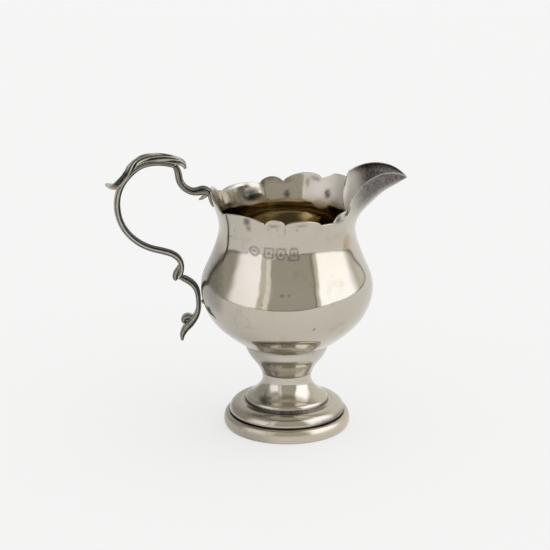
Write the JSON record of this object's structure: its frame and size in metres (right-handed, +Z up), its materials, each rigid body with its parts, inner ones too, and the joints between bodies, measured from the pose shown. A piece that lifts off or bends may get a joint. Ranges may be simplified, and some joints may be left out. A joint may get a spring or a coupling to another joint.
{
  "type": "cream jug",
  "caption": "Small silver cream jug: baluster bowl with a scalloped rim and pouring lip, on a stepped pedestal foot, with a leaf-capped scroll handle.",
  "frame": {"origin": "on the bowl's axis, in the plane that the foot stands on", "axes": "+Z up along the bowl's axis, +X towards the tip of the pouring lip, the handle towards -X, so +Y is the jug's left side seen from behind the handle"},
  "size_m": [0.1073, 0.0622, 0.1018],
  "materials": {
    "raised_silver": "old polished silver sheet, warm grey, with fine scratches and tarnish in the grooves",
    "cast_silver": "cast and chased silver, polished on the high places, dark tarnish in the flutes",
    "silver_solder": "hard silver solder, duller and darker than the sheet"
  },
  "bodies": {
    "root": {"bowl": "raised_silver", "pouring_lip": "raised_silver", "stem_flare": "raised_silver", "foot_dome": "raised_silver", "foot_wire": "raised_silver", "rim_plate": "cast_silver", "upper_scroll": "cast_silver", "main_scroll": "cast_silver", "leaf_cap": "cast_silver", "scroll_spur": "cast_silver", "lower_scroll": "cast_silver", "tail_leaf": "cast_silver", "belly_pad": "silver_solder"}
  },
  "joints": []
}
